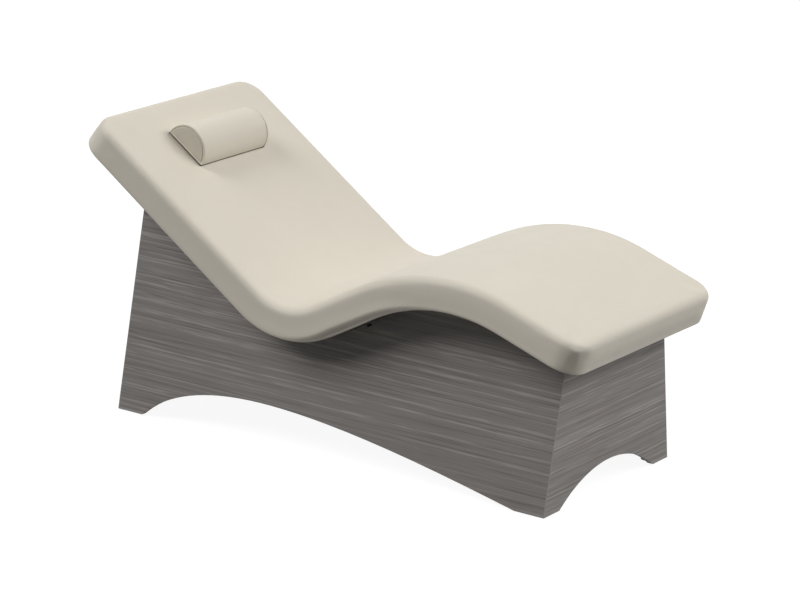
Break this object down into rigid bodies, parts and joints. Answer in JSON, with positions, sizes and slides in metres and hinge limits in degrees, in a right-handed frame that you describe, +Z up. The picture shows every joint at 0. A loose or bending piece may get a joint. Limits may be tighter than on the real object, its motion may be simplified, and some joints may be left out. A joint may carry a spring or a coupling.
{
  "type": "spa relaxation lounger",
  "caption": "Contoured upholstered bed with raised back, seat dip and knee crown, a lift-off half round head pillow, and a leaning laminated base with arched bottoms.",
  "frame": {"origin": "on the floor under the middle of the whole outline", "axes": "+X to the foot end, +Y to the lying person's left, +Z up"},
  "size_m": [1.7716, 0.8, 0.9032],
  "materials": {
    "cover": "satin",
    "foam": "matte",
    "plywood": "matte",
    "board": "matte",
    "laminate": "satin",
    "dust_cloth": "matte",
    "steel": "satin",
    "glide": "matte",
    "strip": "matte"
  },
  "bodies": {
    "lounger": {"bearer_back_left": "plywood", "bearer_back_right": "plywood", "bearer_foot": "plywood", "bearer_head": "plywood", "bearer_leg_left": "plywood", "bearer_leg_right": "plywood", "bearer_screws": "steel", "bearer_seat_left": "plywood", "bearer_seat_right": "plywood", "block_screws": "steel", "bulkhead_back": "board", "bulkhead_knee": "board", "bulkhead_seat": "board", "comfort_foam": "foam", "corner_block_foot_left": "board", "corner_block_foot_right": "board", "corner_block_head_left": "board", "corner_block_head_right": "board", "cover_staples": "steel", "deck_bolts": "steel", "deck_washers": "steel", "dust_cover": "dust_cloth", "dust_cover_staples": "steel", "foot_laminate": "laminate", "foot_panel": "board", "formed_deck": "plywood", "head_laminate": "laminate", "head_panel": "board", "leveller_insert_foot_left": "steel", "leveller_insert_foot_right": "steel", "leveller_insert_head_left": "steel", "leveller_insert_head_right": "steel", "panel_screws": "steel", "pillow_loop_strips": "strip", "side_laminate_left": "laminate", "side_laminate_right": "laminate", "side_panel_left": "board", "side_panel_right": "board", "support_foam_back": "foam", "support_foam_leg": "foam", "support_foam_seat": "foam", "tee_nuts": "steel", "upholstery_cover": "cover"},
    "pillow": {"pillow_wrap": "cover", "pillow_cap_left": "cover", "pillow_cap_right": "cover", "pillow_core": "foam", "pillow_hook_strips": "strip"},
    "pad_head_left": {"leveller_pad_head_left": "glide"},
    "stem_head_left": {"leveller_stem_head_left": "steel"},
    "pad_head_right": {"leveller_pad_head_right": "glide"},
    "stem_head_right": {"leveller_stem_head_right": "steel"},
    "pad_foot_left": {"leveller_pad_foot_left": "glide"},
    "stem_foot_left": {"leveller_stem_foot_left": "steel"},
    "pad_foot_right": {"leveller_pad_foot_right": "glide"},
    "stem_foot_right": {"leveller_stem_foot_right": "steel"}
  },
  "joints": [
    {"name": "pillow_lift", "type": "slide", "parent": "lounger", "child": "pillow", "axis": [0.5664, 0, 0.8241], "range_m": [0, 0.25]},
    {"name": "leveller_drop_head_left", "type": "slide", "parent": "lounger", "child": "pad_head_left", "axis": [0, 0, -1], "range_m": [0, 0.015]},
    {"name": "leveller_turn_head_left", "type": "hinge", "parent": "pad_head_left", "child": "stem_head_left", "pos_m": [-0.70576, 0.30964, 0], "axis": [0, 0, 1], "range_deg": [-3600, 0]},
    {"name": "leveller_drop_head_right", "type": "slide", "parent": "lounger", "child": "pad_head_right", "axis": [0, 0, -1], "range_m": [0, 0.015]},
    {"name": "leveller_turn_head_right", "type": "hinge", "parent": "pad_head_right", "child": "stem_head_right", "pos_m": [-0.70576, -0.30964, 0], "axis": [0, 0, 1], "range_deg": [-3600, 0]},
    {"name": "leveller_drop_foot_left", "type": "slide", "parent": "lounger", "child": "pad_foot_left", "axis": [0, 0, -1], "range_m": [0, 0.015]},
    {"name": "leveller_turn_foot_left", "type": "hinge", "parent": "pad_foot_left", "child": "stem_foot_left", "pos_m": [0.73166, 0.30964, 0], "axis": [0, 0, 1], "range_deg": [-3600, 0]},
    {"name": "leveller_drop_foot_right", "type": "slide", "parent": "lounger", "child": "pad_foot_right", "axis": [0, 0, -1], "range_m": [0, 0.015]},
    {"name": "leveller_turn_foot_right", "type": "hinge", "parent": "pad_foot_right", "child": "stem_foot_right", "pos_m": [0.73166, -0.30964, 0], "axis": [0, 0, 1], "range_deg": [-3600, 0]}
  ],
  "couplings": [
    {"joint": "leveller_turn_head_left", "follows": "leveller_drop_head_left", "rad_per_m": -4188.8},
    {"joint": "leveller_turn_head_right", "follows": "leveller_drop_head_right", "rad_per_m": -4188.8},
    {"joint": "leveller_turn_foot_left", "follows": "leveller_drop_foot_left", "rad_per_m": -4188.8},
    {"joint": "leveller_turn_foot_right", "follows": "leveller_drop_foot_right", "rad_per_m": -4188.8}
  ]
}
